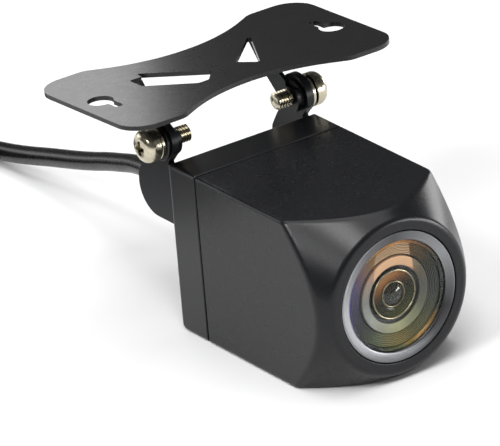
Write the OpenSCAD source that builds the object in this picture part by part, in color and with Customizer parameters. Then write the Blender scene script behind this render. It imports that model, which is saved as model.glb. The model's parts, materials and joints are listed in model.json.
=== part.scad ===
// Backup camera for trucks and trailers: a cube body with a fisheye lens, a rear
// bracket, a hinged mounting plate, and a short lead that ends in a round connector.
// +X is to the camera's left-hand screw side, the lens looks along -Y, +Z is up.
// The origin is on the ground, under the middle of the camera and its bracket.

/* [Body] */
// Width and height of the square body
body_w = 25; // [24.6:0.1:25.4]
// Depth of the body from the front face to the back face
body_d = 35.8; // [35.6:0.1:36]
// Depth of the rear cover
cover_d = 6.3; // [6:0.1:6.6]
// Thickness of the housing walls
wall = 1.5; // [1.4:0.1:1.6]
// Radius of the long edges of the body
edge_r = 0.5; // [0.4:0.1:1]
// Radius of the top and side edges of the back face
back_r = 0.5; // [0.4:0.1:1]
// Radius of the bottom edge of the back face
bottom_r = 2; // [1.6:0.1:2.2]
// Depth of the corner cone for each millimetre of radius
cone_slope = 1.32; // [1.25:0.01:1.4]

/* [Lens] */
// Radius of the bezel ring
bezel_r = 9.45; // [9.2:0.05:9.6]
// Radius of the cover glass
glass_r = 7.95; // [7.9:0.05:8]
// Thickness of the cover glass
glass_t = 0.5; // [0.4:0.1:0.6]
// Radius of the front lens
lens_r = 3.55; // [3.5:0.05:3.55]
// Number of steps in the baffle ring
baffle_steps = 10; // [6:1:12]

/* [Mounting plate] */
// Length of the mounting plate
plate_l = 44.8; // [44:0.2:46]
// Width of the mounting plate at its ends
plate_w = 25.4; // [25:0.2:26]
// Thickness of the mounting plate and its ears
plate_t = 0.65; // [0.6:0.05:0.7]
// Height of the plate's top above the hinge pins
plate_rise = 7.45; // [7.3:0.05:7.6]
// Lean of the plate towards the back at rest, in degrees
plate_lean = 3; // [0:1:5]
// Radius of the round part of each keyhole
keyhole_r = 1.85; // [1.7:0.05:2]

/* [Hinge] */
// Height of the hinge pins above the ground
pivot_z = 27.5; // [27.5:0.1:28]
// Distance of the hinge pins behind the back face
pivot_back = 2.2; // [2.2:0.1:2.4]
// Thickness of the rear bracket's sheet metal
sheet = 1; // [0.9:0.1:1]
// Radius of the M2.5 hinge screws
screw_r = 1.25; // [1.24:0.01:1.26]
// Half of the gap between the ears of the mounting plate
ear_x = 9.8; // [9.7:0.1:9.9]

/* [Cable] */
// Diameter of the cable
cable_d = 2.8; // [2.6:0.1:3]
// Diameter across the middle of the coil's turns
coil_d = 31.2; // [30:0.2:32]
// Turns side by side in the coil
coil_columns = 4; // [4:1:4]
// Layers of turns in the coil
coil_layers = 2; // [2:1:2]
// Radius of the connector's grip
grip_r = 6; // [5.9:0.1:6.1]

/* [Hidden] */

// Small overlap that makes cuts pass right through
eps = 0.1;
axis_z = body_w / 2;
body_half = body_w / 2;
inner_half = body_half - wall;
gasket_t = 0.3;
housing_d = body_d - cover_d - gasket_t;
seam_d = body_d - cover_d;

// Front wall and the stepped seat of the lens
front_wall = 3;
seat_r = bezel_r + 0.1;
seat_d = 1.6;
barrel_r = 5.5;
cone_start_r = body_half - 1.3;
cone_end_r = 19;
lip_r = glass_r + 0.05;

// Circuit boards, their posts and the corner posts for the case screws
board_post = 8.1;
board_post_r = 1.4;
board_half = 9.5;
board_arm = 5.9;
board_t = 1;
sensor_board_d = 16;
power_board_d = 23;
corner_post = 8.4;
corner_post_r = 1.8;
case_screw_r = 0.9;
clear_r = 1.1;

// Hinge
pivot_d = body_d + pivot_back;
plate_shift = 2;
plate_under = plate_rise - plate_t;
plate_ear_r = 2.35;
bracket_ear_r = 3.1;
bracket_x = ear_x + plate_t + 0.4;
washer_x = bracket_x + sheet + 0.05;
washer_t = 0.45;
spring_t = 0.8;
head_x = washer_x + washer_t + spring_t;
head_r = 2.45;
head_h = 2.3;
tip_x = 7.3;
flange_d = 9;
flange_low_z = 15.5;
web_low_z = 7;
web_top_z = 24.4;

// Front of the body, so that the origin is under the middle of the whole camera
rear_reach = pivot_d + (plate_shift + plate_w / 2) * cos(plate_lean) + plate_rise * sin(plate_lean);
front_y = -rear_reach / 2;

// Cable
cable_r = cable_d / 2;
gland_end_y = 25.5;
gland_end_d = gland_end_y - front_y;
coil_lift = 0.5;
coil_outer_turn_r = coil_d / 2 + cable_d * (coil_columns - 1) / 2;
coil_x = -coil_outer_turn_r;
coil_y = 90;
tie_t = 0.5;
tie_angle = 15;
connector_x = coil_x - coil_outer_turn_r;
connector_y = 76;

// The cable's path from the gland to the coil
cable_route = [
    [0, gland_end_y, axis_z], [0, 28, 12.5], [0.2, 31, 12.4], [0.6, 34, 12.1],
    [1, 37, 11.7], [1.3, 40, 11.1], [1.4, 43, 10.3], [1.5, 47, 9.2], [1.5, 51, 8],
    [1.5, 55, 6.9], [1.5, 59, 5.9], [1.5, 63, 4.9], [1.4, 67, 3.9], [1.2, 71, 3],
    [0.9, 75, 2.3], [0.5, 79, 1.8], [0.2, 83, 1.6], [0, 87, 1.8], [0, 90, 1.9],
];

// The cable's path from the coil to the connector
tail_route = [
    [connector_x, 90, 4.7], [connector_x, 87, 4.8], [connector_x, 84, 5.1],
    [connector_x, 81, 5.5], [connector_x, 78, 5.9], [connector_x, connector_y, 6],
];

// ---------------------------------------------------------------- outlines

function unit(v) = v / norm(v);

function turn(from, to) = let (d = to - from) d > 180 ? d - 360 : d < -180 ? d + 360 : d;

// Points of the arc that rounds the corner p between the points a and b
function corner_arc(a, p, b, r, steps) =
    r == 0 ? [p] :
    let (
        u = unit(a - p),
        v = unit(b - p),
        half = acos(u * v) / 2,
        centre = p + unit(u + v) * r / sin(half),
        first = p + u * r / tan(half) - centre,
        last = p + v * r / tan(half) - centre,
        start = atan2(first[1], first[0]),
        sweep = turn(start, atan2(last[1], last[0]))
    )
    [for (i = [0:steps]) centre + r * [cos(start + sweep * i / steps), sin(start + sweep * i / steps)]];

// Outline through corners given as [x, y, radius]
function rounded(corners, steps = 6) =
    let (n = len(corners), p = [for (c = corners) [c[0], c[1]]])
    [for (i = [0:n - 1]) each corner_arc(p[(i + n - 1) % n], p[i], p[(i + 1) % n], corners[i][2], steps)];

function square_corners(half, r) = [[half, half, r], [-half, half, r], [-half, -half, r], [half, -half, r]];

// ---------------------------------------------------------------- helpers

// Puts a shape drawn along +Z on the lens axis, z millimetres behind the front face
module on_lens_axis(depth = 0) {
    translate([0, front_y + depth, axis_z]) rotate([-90, 0, 0]) children();
}

module lens_turned(profile, steps = 96) {
    on_lens_axis() rotate_extrude($fn = steps) polygon(profile);
}

module ring(inner, outer, from, to, steps = 96) {
    lens_turned([[inner, from], [outer, from], [outer, to], [inner, to]], steps);
}

// Square block round the lens axis, with rounded long edges
module square_block(half, r, from, to) {
    on_lens_axis(from) linear_extrude(height = to - from) polygon(rounded(square_corners(half, r)));
}

// Box given by its size and the middle of its front face, measured from the lens axis
module axis_box(size, x, z, depth) {
    translate([x - size[0] / 2, front_y + depth, axis_z + z - size[2] / 2]) cube(size);
}

module at_posts(spots) {
    for (s = spots) translate([s[0], 0, s[1]]) children();
}

function mid_side_spots(d) = [[d, 0], [-d, 0], [0, d], [0, -d]];

// Screw with a pan head and a cross recess, its head above z = 0 and its shank below
module pan_screw(shank_r, shank_l, head_r, head_h) {
    difference() {
        union() {
            rotate_extrude($fn = 48)
                polygon(rounded([[0, 0, 0], [head_r, 0, 0], [head_r, head_h, head_h * 0.5], [0, head_h, 0]]));
            translate([0, 0, -shank_l]) cylinder(r = shank_r, h = shank_l + eps, $fn = 32);
        }
        for (a = [0, 90])
            rotate([0, 0, a]) translate([-head_r * 0.55, -head_r * 0.12, head_h * 0.4])
                cube([head_r * 1.1, head_r * 0.24, head_h]);
    }
}

// Puts a shape on both sides of the hinge, drawn along +Z as it points outwards from x
module at_hinge(x) {
    for (side = [0, 1]) mirror([side, 0, 0])
        translate([x, front_y + pivot_d, pivot_z]) rotate([0, 90, 0]) children();
}

// Frame of the mounting plate, with the hinge pins' axis as its origin
module on_plate() {
    translate([0, front_y + pivot_d, pivot_z]) rotate([-plate_lean, 0, 0]) children();
}

module washer(inner, outer, t) {
    difference() {
        cylinder(r = outer, h = t, $fn = 48);
        translate([0, 0, -eps]) cylinder(r = inner, h = t + 2 * eps, $fn = 48);
    }
}

// Round tube swept along a path that runs mostly along Y
module tube(path, d, sides = 8) {
    last = len(path) - 1;
    rings = [for (i = [0:last])
        let (
            ahead = unit(path[min(i + 1, last)] - path[max(i - 1, 0)]),
            up = unit(cross(ahead, [1, 0, 0])),
            across = cross(ahead, up)
        )
        for (k = [0:sides - 1])
            path[i] + d / 2 * (cos(360 * k / sides) * up + sin(360 * k / sides) * across)];
    skin = [for (i = [0:last - 1], k = [0:sides - 1])
        let (a = i * sides + k, b = i * sides + (k + 1) % sides)
        [a, b, b + sides, a + sides]];
    start_cap = [for (k = [sides - 1:-1:0]) k];
    end_cap = [for (k = [0:sides - 1]) last * sides + k];
    polyhedron(points = rings, faces = concat(skin, [start_cap, end_cap]), convexity = 4);
}

// ---------------------------------------------------------------- case

// Solid between the flat front face and the corner cone
module cone_limit(shift, depth) {
    corners = [
        [0, shift, 0], [cone_start_r, shift, 0.6],
        [cone_end_r, shift + (cone_end_r - cone_start_r) * cone_slope, 0],
        [cone_end_r, depth, 0], [0, depth, 0],
    ];
    on_lens_axis() rotate_extrude($fn = 96) polygon(rounded(corners));
}

module corner_post_shape(from, to) {
    for (sx = [-1, 1], sz = [-1, 1]) {
        on_lens_axis(from) translate([sx * corner_post, -sz * corner_post, 0])
            cylinder(r = corner_post_r, h = to - from, $fn = 32);
        reach = body_half - 0.7 - corner_post;
        axis_box([reach, to - from, reach], sx * (corner_post + reach / 2), sz * (corner_post + reach / 2), from);
    }
}

module corner_holes(r, from, to) {
    for (sx = [-1, 1], sz = [-1, 1])
        on_lens_axis(from) translate([sx * corner_post, sz * corner_post, 0])
            cylinder(r = r, h = to - from, $fn = 32);
}

module front_housing() {
    // Depth by which the inside of the cone lies behind the outside
    cone_wall = wall * sqrt(1 + cone_slope * cone_slope);
    color("#2b2d30") difference() {
        intersection() {
            square_block(body_half, edge_r, 0, housing_d);
            cone_limit(0, housing_d + eps);
        }
        difference() {
            intersection() {
                square_block(inner_half, edge_r / 2, front_wall, housing_d + eps);
                cone_limit(cone_wall, housing_d + eps);
            }
            for (s = mid_side_spots(board_post))
                on_lens_axis(front_wall - eps) translate([s[0], s[1], 0])
                    cylinder(r = board_post_r, h = sensor_board_d - front_wall + eps, $fn = 32);
            corner_post_shape(sensor_board_d + 2, housing_d + 2 * eps);
        }
        for (s = mid_side_spots(board_post))
            on_lens_axis(sensor_board_d - 6) translate([s[0], s[1], 0])
                cylinder(r = 0.75, h = 6 + eps, $fn = 24);
        corner_holes(case_screw_r - 0.05, sensor_board_d + 4, housing_d + eps);
        on_lens_axis(-eps) cylinder(r = seat_r, h = seat_d + eps, $fn = 96);
        on_lens_axis(seat_d - eps) cylinder(r = barrel_r + 0.1, h = front_wall, $fn = 96);
    }
}

module rear_cover() {
    inside_d = body_d - wall;
    tongue_l = 11;
    color("#232528") difference() {
        union() {
            intersection() {
                square_block(body_half, edge_r, seam_d, body_d);
                // Rounds the top and bottom edges of the back face
                translate([-body_w, front_y, 0]) rotate([90, 0, 90]) linear_extrude(height = 2 * body_w)
                    polygon(rounded([[0, 0, 0], [body_d, 0, bottom_r], [body_d, body_w, back_r], [0, body_w, 0]]));
                // Rounds the side edges of the back face
                translate([0, front_y, -body_w]) linear_extrude(height = 3 * body_w)
                    polygon(rounded([[-body_half, 0, 0], [body_half, 0, 0],
                        [body_half, body_d, back_r], [-body_half, body_d, back_r]]));
            }
            for (a = [0:90:270])
                on_lens_axis() rotate([0, 0, a])
                    translate([-tongue_l / 2, inner_half - 1.15, housing_d - 1.5])
                        cube([tongue_l, 1, inside_d - housing_d + 1.5 + eps]);
        }
        difference() {
            square_block(inner_half - 0.15, edge_r / 2, seam_d - eps, inside_d);
            corner_post_shape(seam_d - 2 * eps, inside_d + eps);
            for (a = [0:90:270])
                on_lens_axis() rotate([0, 0, a])
                    translate([-tongue_l / 2, inner_half - 1.15, 0]) cube([tongue_l, 1.5, body_d]);
        }
        corner_holes(clear_r, seam_d - eps, body_d + eps);
        on_lens_axis(inside_d - eps) cylinder(r = 3, h = wall + 2 * eps, $fn = 48);
    }
}

module housing_seal() {
    color("#111111") difference() {
        square_block(body_half - 0.3, edge_r, housing_d, seam_d);
        square_block(inner_half, edge_r / 2, housing_d - eps, seam_d + eps);
    }
}

module case_screw_pair(z, face_d) {
    for (sx = [-1, 1])
        translate([sx * corner_post, front_y + face_d, axis_z + z]) rotate([-90, 0, 0])
            pan_screw(case_screw_r, face_d - sensor_board_d - 6, 1.9, 1.2);
}

module cover_screws() {
    color("#8f8d84") case_screw_pair(-corner_post, body_d);
}

// ---------------------------------------------------------------- lens

module bezel_ring() {
    color("#9ea1a4") lens_turned([
        [lip_r, 0.15], [lip_r + 0.1, 0.08], [bezel_r - 0.25, 0], [bezel_r, 0.15],
        [bezel_r, seat_d], [lip_r, seat_d],
    ]);
}

module cover_glass() {
    color([0.8, 0.85, 0.9, 0.3]) ring(0, glass_r, 0.15, 0.15 + glass_t);
}

module glass_seal() {
    color("#0b0b0c") ring(glass_r - 0.5, glass_r, 0.15 + glass_t, 0.95);
}

// Shallow stepped funnel round the lens
module baffle_ring() {
    inner = barrel_r + 0.1;
    outer = glass_r - 0.5;
    pitch = (outer - inner) / baffle_steps;
    fall = 0.4 / baffle_steps;
    stairs = [for (i = [0:baffle_steps - 1], top = [0, 1])
        [outer - (i + top) * pitch, 0.95 + i * fall]];
    color("#55565a") lens_turned(concat(stairs, [[inner, seat_d], [glass_r, seat_d], [glass_r, 0.95]]));
}

module lens_retainer() {
    color("#77797c") lens_turned([[4.4, 1.05], [5.3, 0.95], [barrel_r, 1.05], [barrel_r, seat_d], [4.4, seat_d]]);
}

module lens_barrel() {
    color("#18181a") lens_turned([
        [lens_r + 0.05, seat_d], [barrel_r, seat_d], [barrel_r, 3.9], [6.4, 3.9], [6.4, 4.9],
        [barrel_r, 4.9], [barrel_r, 12], [3, 12], [3, 5], [lens_r + 0.05, 5],
    ]);
}

// Points of a spherical face from the lens axis out to r; bulge is the depth at the axis
function lens_face(r, edge, bulge, steps = 8) =
    let (s = abs(bulge), big = (r * r + s * s) / (2 * s))
    [for (i = [0:steps])
        let (x = r * i / steps)
        [x, edge + sign(bulge) * (s - (big - sqrt(big * big - x * x)))]];

function reversed(list) = [for (i = [len(list) - 1:-1:0]) list[i]];

module front_lens() {
    color([0.35, 0.32, 0.25, 0.6])
        lens_turned(concat(lens_face(lens_r, 1.3, -0.58), [[lens_r, 2]], reversed(lens_face(2.6, 2, -0.5))), 72);
}

module lens_stop() {
    color("#121214") lens_turned([[2.15, 2.1], [2.25, 2], [lens_r, 2], [lens_r, 3], [2.15, 3]]);
}

module middle_lens() {
    color([0.3, 0.35, 0.3, 0.6]) lens_turned(concat(lens_face(2.1, 2.1, -0.45), [[2.1, 3], [0, 3]]), 48);
}

module lens_spacer() {
    color("#121214") ring(1.9, lens_r, 3, 5, 64);
}

module rear_lens() {
    color([0.4, 0.45, 0.5, 0.6])
        lens_turned(concat(lens_face(2.95, 5.8, -0.7), reversed(lens_face(2.95, 6.8, 0.7))), 48);
}

module barrel_seal() {
    color("#101010") ring(barrel_r, 6.3, front_wall, 3.9);
}

module lens_holder() {
    color("#1b1b1d") difference() {
        on_lens_axis(9) cylinder(r = 6.4, h = sensor_board_d - 9, $fn = 72);
        on_lens_axis(9 - eps) cylinder(r = barrel_r, h = 3.2 + eps, $fn = 72);
        on_lens_axis(12) cylinder(r = 2.4, h = 1, $fn = 48);
        axis_box([8, sensor_board_d - 12.8 + eps, 8], 0, 0, 12.8);
    }
}

module ir_filter() {
    color([0.7, 0.3, 0.35, 0.5]) axis_box([6, 0.3, 6], 0, 0, 12.8);
}

module image_sensor() {
    color("#3a3f4a") axis_box([6.4, 0.9, 6.4], 0, 0, sensor_board_d - 0.9);
}

// ---------------------------------------------------------------- electronics

module circuit_board(depth) {
    arm = board_half - board_arm;
    mid = (board_half + board_arm) / 2;
    difference() {
        axis_box([2 * board_half, board_t, 2 * board_half], 0, 0, depth);
        for (sx = [-1, 1], sz = [-1, 1])
            axis_box([arm + eps, board_t + 2 * eps, arm + eps],
                sx * (mid + eps / 2), sz * (mid + eps / 2), depth - eps);
        for (s = mid_side_spots(board_post))
            on_lens_axis(depth - eps) translate([s[0], s[1], 0])
                cylinder(r = 0.85, h = board_t + 2 * eps, $fn = 24);
    }
}

module sensor_board() {
    color("#1d5a35") circuit_board(sensor_board_d);
}

module power_board() {
    color("#1d5a35") circuit_board(power_board_d);
}

module board_spacers() {
    from = sensor_board_d + board_t;
    color("#c9a24a") for (s = mid_side_spots(board_post))
        on_lens_axis(from) translate([s[0], s[1], 0]) washer(0.85, board_post_r, power_board_d - from);
}

module board_link() {
    from = sensor_board_d + board_t;
    color("#202020") axis_box([8, power_board_d - from, 2.4], 0, -4.4, from);
}

module power_components() {
    from = power_board_d + board_t;
    color("#3b3b3d") {
        axis_box([3.2, 1.2, 3], 0, 5, from);
        on_lens_axis(from) translate([-5, -3.6, 0]) cylinder(r = 1.7, h = 3, $fn = 32);
        on_lens_axis(from) translate([5, -3.6, 0]) cylinder(r = 1.4, h = 3.4, $fn = 32);
        axis_box([4, 1.4, 2.4], -1, -5.4, from);
    }
}

module board_screws() {
    top = power_board_d + board_t;
    color("#a9a9a4") for (s = mid_side_spots(board_post))
        translate([s[0], front_y + top, axis_z + s[1]]) rotate([-90, 0, 0]) pan_screw(0.8, 12.5, 1.35, 0.9);
}

module cable_socket() {
    from = power_board_d + board_t;
    color("#e8e4d8") difference() {
        axis_box([6.4, 4, 4], 0, 0, from);
        axis_box([5.2, 3.2, 2.8], 0, 0, from + 1);
    }
}

module wire_plug() {
    color("#f0ece0") axis_box([5, 4.6, 2.6], 0, 0, power_board_d + board_t + 1);
}

module inner_lead() {
    from = power_board_d + board_t + 5.6;
    color("#161616") on_lens_axis(from) cylinder(r = cable_r - 0.05, h = gland_end_d - from, $fn = 32);
}

// Moulded boot: a flange inside the cover, a neck through it and a ribbed taper outside
module cable_gland() {
    inside_d = body_d - wall;
    taper_d = body_d + 1.8;
    rib_pitch = 2.2;
    ribs = 5;
    taper_l = gland_end_d - taper_d;
    function taper_r(d) = 3 - 1.1 * (d - taper_d) / taper_l;
    grooves = [for (i = [0:ribs - 1], k = [0:3])
        let (d = taper_d + 1.4 + i * rib_pitch + [0, 0.05, 0.65, 0.7][k])
        [taper_r(d) - [0, 0.35, 0.35, 0][k], d]];
    color("#141415") lens_turned(concat(
        [[cable_r, inside_d - 1.2], [4.4, inside_d - 1.2], [4.4, inside_d], [2.95, inside_d],
            [2.95, body_d], [3.9, body_d], [3.9, taper_d], [taper_r(taper_d), taper_d]],
        grooves,
        [[taper_r(gland_end_d), gland_end_d], [cable_r, gland_end_d]]), 48);
}

// ---------------------------------------------------------------- rear bracket

// Side flange with the ear that carries the hinge screw, in [depth, z] coordinates
module bracket_flange() {
    back = body_d + flange_d;
    ear_back = pivot_d + bracket_ear_r;
    ear_front = pivot_d - bracket_ear_r;
    ear_top = pivot_z + bracket_ear_r;
    corners = [
        [body_d, flange_low_z, 0], [back, flange_low_z, 4.2], [back - 0.4, 21, 1.2], [back - 1.7, 23, 1.5],
        [ear_back, 25.6, 1.2], [ear_back, ear_top, bracket_ear_r - 0.05],
        [ear_front, ear_top, bracket_ear_r - 0.05], [ear_front, 26.6, 1],
        [body_d + 1.1, web_top_z, 0.3], [body_d, web_top_z, 0],
    ];
    for (x = [-bracket_x - sheet, bracket_x])
        translate([x, front_y, 0]) rotate([90, 0, 90]) linear_extrude(height = sheet) polygon(rounded(corners));
}

module rear_bracket() {
    half = bracket_x + sheet;
    color("#26282a") difference() {
        union() {
            translate([0, front_y + body_d + sheet, 0]) rotate([90, 0, 0]) linear_extrude(height = sheet)
                polygon(rounded([[-half, web_low_z, 2], [half, web_low_z, 2], [half, web_top_z, 0],
                    [-half, web_top_z, 0]]));
            bracket_flange();
        }
        on_lens_axis(body_d - eps) cylinder(r = 4.2, h = sheet + 2 * eps, $fn = 48);
        for (sx = [-1, 1])
            on_lens_axis(body_d - eps) translate([sx * corner_post, -corner_post, 0])
                cylinder(r = clear_r, h = sheet + 2 * eps, $fn = 32);
        at_hinge(bracket_x - eps) cylinder(r = screw_r + 0.08, h = sheet + 2 * eps, $fn = 48);
    }
}

module bracket_screws() {
    color("#8f8d84") case_screw_pair(corner_post, body_d + sheet);
}

// ---------------------------------------------------------------- mounting plate

// Outline of the plate: straight ends, rounded corners and a waist that curves in
module plate_outline() {
    l = plate_l / 2;
    w = plate_w / 2;
    shoulder = 14;
    waist = 4.6;
    polygon(rounded([
        [l, w, 4.2], [shoulder, w, 3], [0, waist, 23], [-shoulder, w, 3], [-l, w, 4.2],
        [-l, -w, 4.2], [-shoulder, -w, 3], [0, -waist, 23], [shoulder, -w, 3], [l, -w, 4.2],
    ], 12));
}

// Keyhole whose slot runs towards -Y
module keyhole() {
    circle(r = keyhole_r, $fn = 48);
    slot = 0.62;
    polygon(rounded([[slot + 0.7, 0, 0], [slot + 0.7, -4, slot - 0.05], [0.7 - slot, -4, slot - 0.05],
        [0.7 - slot, 0, 0]]));
}

// Windows left in the plate where the ears have been bent down
module ear_windows() {
    polygon(rounded([
        [-2, -1.6, 0.4], [-ear_x, 5.8, 0.3], [-ear_x, 4.2, 0.2], [-11.9, 4.2, 0.4],
        [-11.9, 1, 0.6], [-6, -4.3, 0.8], [-4.3, -4.3, 0.4],
    ]));
    polygon(rounded([[2, -1.6, 0.4], [4.35, -4.35, 0.4], [ear_x, 6.3, 0.3]]));
}

module mount_plate() {
    hole_x = 18.9;
    hole_y = 0.9;
    color("#1e1f21") on_plate() translate([0, plate_shift, plate_under]) linear_extrude(height = plate_t)
        difference() {
            plate_outline();
            for (a = [0, 180]) rotate(a) translate([-hole_x, hole_y]) keyhole();
            ear_windows();
        }
}

// Ears bent down from the plate, each a leaning neck with a round end on its hinge screw
module plate_ears() {
    neck = [
        [0.9, -1.1, 0], [6.2, 2.95, 1.4], [9.2, plate_under, 0],
        [6.2, plate_under, 0], [4.4, 4.7, 1.2], [-0.7, 0.9, 0],
    ];
    color("#1a1b1d") difference() {
        on_plate() for (x = [-ear_x - plate_t, ear_x])
            translate([x, 0, 0]) rotate([90, 0, 90]) linear_extrude(height = plate_t) union() {
                circle(r = plate_ear_r, $fn = 72);
                polygon(rounded(neck));
            }
        at_hinge(ear_x - eps) cylinder(r = screw_r - 0.04, h = plate_t + 2 * eps, $fn = 48);
    }
}

// Pan-head M2.5 screws, threaded at the free end; the heads point outwards
module pivot_screws() {
    pitch = 0.45;
    ridges = floor((ear_x - tip_x) / pitch);
    root_r = screw_r - 0.22;
    thread = [for (i = [0:ridges - 1], k = [0, 1])
        [k == 0 ? root_r : screw_r, tip_x + pitch * (i + k * 0.5)]];
    color("#a39f8c") at_hinge(0) difference() {
        rotate_extrude($fn = 48) polygon(concat(
            [[0, tip_x]], thread,
            [[screw_r, tip_x + pitch * ridges], [screw_r, head_x]],
            rounded([[head_r, head_x, 0], [head_r, head_x + head_h, 1.2], [0, head_x + head_h, 0]])));
        for (a = [0, 90])
            rotate([0, 0, a]) translate([-1.35, -0.3, head_x + head_h - 1.3]) cube([2.7, 0.6, 2]);
    }
}

module friction_washers() {
    color("#0e0e0f") at_hinge(ear_x + plate_t) washer(screw_r, 2.35, 0.35);
}

module flat_washers() {
    color("#1c1c1c") at_hinge(washer_x) washer(screw_r + 0.05, 2.7, washer_t);
}

module spring_washers() {
    color("#8a877a") at_hinge(washer_x + washer_t) difference() {
        washer(screw_r + 0.05, 2.3, spring_t);
        translate([0, -0.2, -eps]) cube([3, 0.4, 1]);
    }
}

// ---------------------------------------------------------------- cable and connector

module camera_cable() {
    color("#0c0c0d") tube(cable_route, cable_d);
}

module cable_tail() {
    color("#0c0c0d") tube(tail_route, cable_d);
}

function coil_section(gap) =
    let (
        in = coil_outer_turn_r - (coil_columns - 1) * cable_d - cable_r - gap,
        out = coil_outer_turn_r + cable_r + gap,
        low = coil_lift - gap,
        high = coil_lift + coil_layers * cable_d + gap
    )
    [[in, low, 1], [out, low, 1], [out, high, 1], [in, high, 1]];

module cable_coil() {
    color("#0f0f10") translate([coil_x, coil_y, 0]) rotate_extrude($fn = 72) polygon(rounded(coil_section(0), 3));
}

// Strap round the coil's turns
module coil_tie() {
    color("#1a1a1a") translate([coil_x, coil_y, 0]) rotate([0, 0, 45 - tie_angle / 2])
        rotate_extrude(angle = tie_angle, $fn = 72) difference() {
            polygon(rounded(coil_section(tie_t), 3));
            polygon(rounded(coil_section(0), 3));
        }
}

// Puts a shape drawn along +Z on the connector's axis, measured from its cable end
module on_connector(z = 0) {
    translate([connector_x, connector_y - z, grip_r]) rotate([90, 0, 0]) children();
}

module connector_turned(profile, steps = 64) {
    on_connector() rotate_extrude($fn = steps) polygon(profile);
}

module connector_boot() {
    color("#131314") connector_turned(concat(
        [[0, 0], [1.9, 0]],
        [for (i = [0:4], k = [0:3])
            let (z = 2 + i * 2.1 + [0, 0.1, 0.8, 0.9][k])
            [1.9 + 0.18 * z - [0, 0.35, 0.35, 0][k], z]],
        [[4.4, 14], [0, 14]]), 48);
}

module connector_body() {
    flutes = 12;
    color("#17181a") difference() {
        connector_turned(concat(
            rounded([[0, 14, 0], [4.6, 14, 0], [grip_r, 15.5, 0.5], [grip_r, 26, 0.4], [3.9, 26, 0]]),
            [[3.9, 29.1], [4.6, 29.1], [4.6, 30.1], [3.9, 30.1], [3.9, 36], [3.1, 36], [3.1, 30], [0, 30]]));
        for (i = [0:flutes - 1])
            on_connector(17) rotate([0, 0, 360 * (i + 0.5) / flutes]) translate([grip_r + 0.3, 0, 0])
                cylinder(r = 0.8, h = 7, $fn = 24);
    }
}

module connector_pins() {
    color("#d8b24a") for (i = [0:3])
        on_connector(30) rotate([0, 0, 45 + 90 * i]) translate([1.8, 0, 0]) cylinder(r = 0.5, h = 5, $fn = 24);
}

module connector_seal() {
    color("#c0392b") connector_turned([[3.9, 30.1], [4.6, 30.1], [4.75, 30.6], [4.6, 31.1], [3.9, 31.1]], 48);
}

// Coupling nut, free to spin behind the collar of the connector's nose
module connector_nut() {
    nut_r = grip_r - 0.35;
    flutes = 18;
    color("#1b1c1e") difference() {
        connector_turned(rounded([
            [3.96, 26.1, 0], [nut_r, 26.1, 0.4], [nut_r, 37, 0.4],
            [4.95, 37, 0], [4.95, 28.9, 0], [3.96, 28.9, 0],
        ]));
        for (i = [0:flutes - 1])
            on_connector(27) rotate([0, 0, 360 * i / flutes]) translate([nut_r + 0.15, 0, 0])
                cylinder(r = 0.4, h = 9, $fn = 16);
    }
}

front_housing();
rear_cover();
housing_seal();
cover_screws();
bezel_ring();
cover_glass();
glass_seal();
baffle_ring();
lens_retainer();
lens_barrel();
front_lens();
lens_stop();
middle_lens();
lens_spacer();
rear_lens();
barrel_seal();
lens_holder();
ir_filter();
image_sensor();
sensor_board();
board_spacers();
board_link();
power_board();
power_components();
board_screws();
cable_socket();
wire_plug();
inner_lead();
cable_gland();
rear_bracket();
bracket_screws();
mount_plate();
plate_ears();
pivot_screws();
friction_washers();
flat_washers();
spring_washers();
camera_cable();
cable_coil();
coil_tie();
cable_tail();
connector_boot();
connector_body();
connector_pins();
connector_seal();
connector_nut();
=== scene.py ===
import json
import math
import bmesh
import bpy
import numpy as np
from mathutils import Matrix, Vector


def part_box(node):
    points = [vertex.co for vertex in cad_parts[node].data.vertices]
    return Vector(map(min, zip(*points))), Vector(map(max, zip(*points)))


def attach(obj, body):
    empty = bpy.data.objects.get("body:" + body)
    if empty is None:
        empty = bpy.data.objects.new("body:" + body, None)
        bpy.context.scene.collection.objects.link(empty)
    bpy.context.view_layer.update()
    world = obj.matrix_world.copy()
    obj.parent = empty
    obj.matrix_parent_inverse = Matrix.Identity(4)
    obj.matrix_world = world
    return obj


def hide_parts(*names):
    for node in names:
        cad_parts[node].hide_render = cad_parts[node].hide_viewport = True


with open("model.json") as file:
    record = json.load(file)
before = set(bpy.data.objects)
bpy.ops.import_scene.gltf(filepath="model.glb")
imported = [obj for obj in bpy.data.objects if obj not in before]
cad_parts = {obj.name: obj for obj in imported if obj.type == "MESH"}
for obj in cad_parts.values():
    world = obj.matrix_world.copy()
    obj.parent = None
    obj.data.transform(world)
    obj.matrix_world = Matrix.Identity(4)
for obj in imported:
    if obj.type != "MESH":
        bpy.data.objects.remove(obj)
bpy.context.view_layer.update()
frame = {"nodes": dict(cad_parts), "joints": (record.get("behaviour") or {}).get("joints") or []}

MM = 0.001
nodes = frame["nodes"]


def corner(node, high=False):
    """A corner of a CAD node's box, in millimetres."""
    return np.array(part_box(node)[1 if high else 0]) / MM


front_y = corner("front_housing")[1]
back_y = corner("rear_bracket")[1]
body_half = corner("front_housing", True)[0]
axis_z = body_half
hinge = [j for j in frame["joints"] if j["name"] == "mount_tilt"][0]
pivot_y, pivot_z = hinge["pos_m"][1] / MM, hinge["pos_m"][2] / MM
nut_joint = [j for j in frame["joints"] if j["name"] == "nut_spin"][0]
connector_x, connector_z = nut_joint["pos_m"][0] / MM, nut_joint["pos_m"][2] / MM

# ---------------------------------------------------------------- camera

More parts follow.
